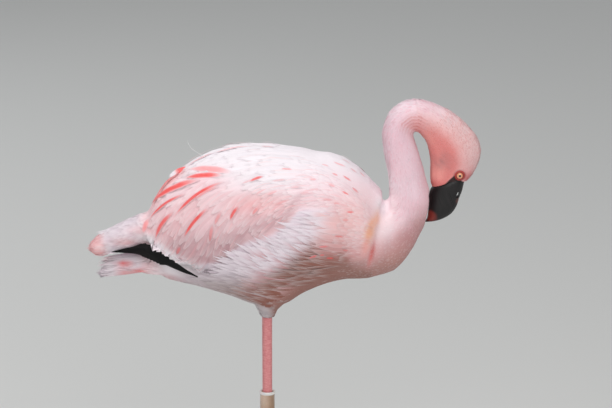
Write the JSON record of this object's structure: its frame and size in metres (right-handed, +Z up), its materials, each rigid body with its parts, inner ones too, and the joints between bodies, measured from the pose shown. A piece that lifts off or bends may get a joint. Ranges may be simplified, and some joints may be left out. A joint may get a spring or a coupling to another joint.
{
  "type": "standing flamingo",
  "caption": "Life-size still model of a lesser flamingo resting on one straight leg, the other leg tucked along its belly, neck arched over so that the bill hangs beside it.",
  "frame": {"origin": "on the floor, in the middle of the standing foot's sole under the leg", "axes": "+Z up along the standing leg, +X towards the breast, +Y towards the bird's left side, where the tucked leg lies"},
  "size_m": [0.4911, 0.1484, 0.6131],
  "materials": {
    "plumage": "soft contour feathers, almost white",
    "neck_plumage": "short dense pale pink feathers",
    "face_plumage": "very short salmon feathers",
    "wing_coverts": "white coverts with scarlet streaks",
    "flight_feathers": "black, slightly glossy vanes",
    "bill": "satin horn, near black with a dark red patch before the tip",
    "eye": "wet, orange-yellow iris with a black pupil",
    "leg_skin": "scaled pink skin",
    "claw": "dark horn",
    "leg_ring": "smooth glossy plastic"
  },
  "bodies": {
    "root": {"upper_bill": "bill", "lower_bill": "bill", "eye_right": "eye", "eye_left": "eye", "right_foot": "leg_skin", "right_claw_inner": "claw", "right_claw_middle": "claw", "right_claw_outer": "claw", "right_tarsus": "leg_skin", "right_shank": "leg_skin", "leg_ring": "leg_ring", "left_tarsus": "leg_skin", "left_foot": "leg_skin", "left_shank": "leg_skin", "left_claw_inner": "claw", "left_claw_middle": "claw", "left_claw_outer": "claw", "trunk": "plumage", "right_wing": "wing_coverts", "right_flight_feathers": "flight_feathers", "left_wing": "wing_coverts", "left_flight_feathers": "flight_feathers", "tail": "plumage", "undertail": "plumage", "right_thigh": "plumage", "neck_lower": "neck_plumage", "neck_middle": "neck_plumage", "neck_upper": "neck_plumage", "head": "face_plumage"}
  },
  "joints": []
}
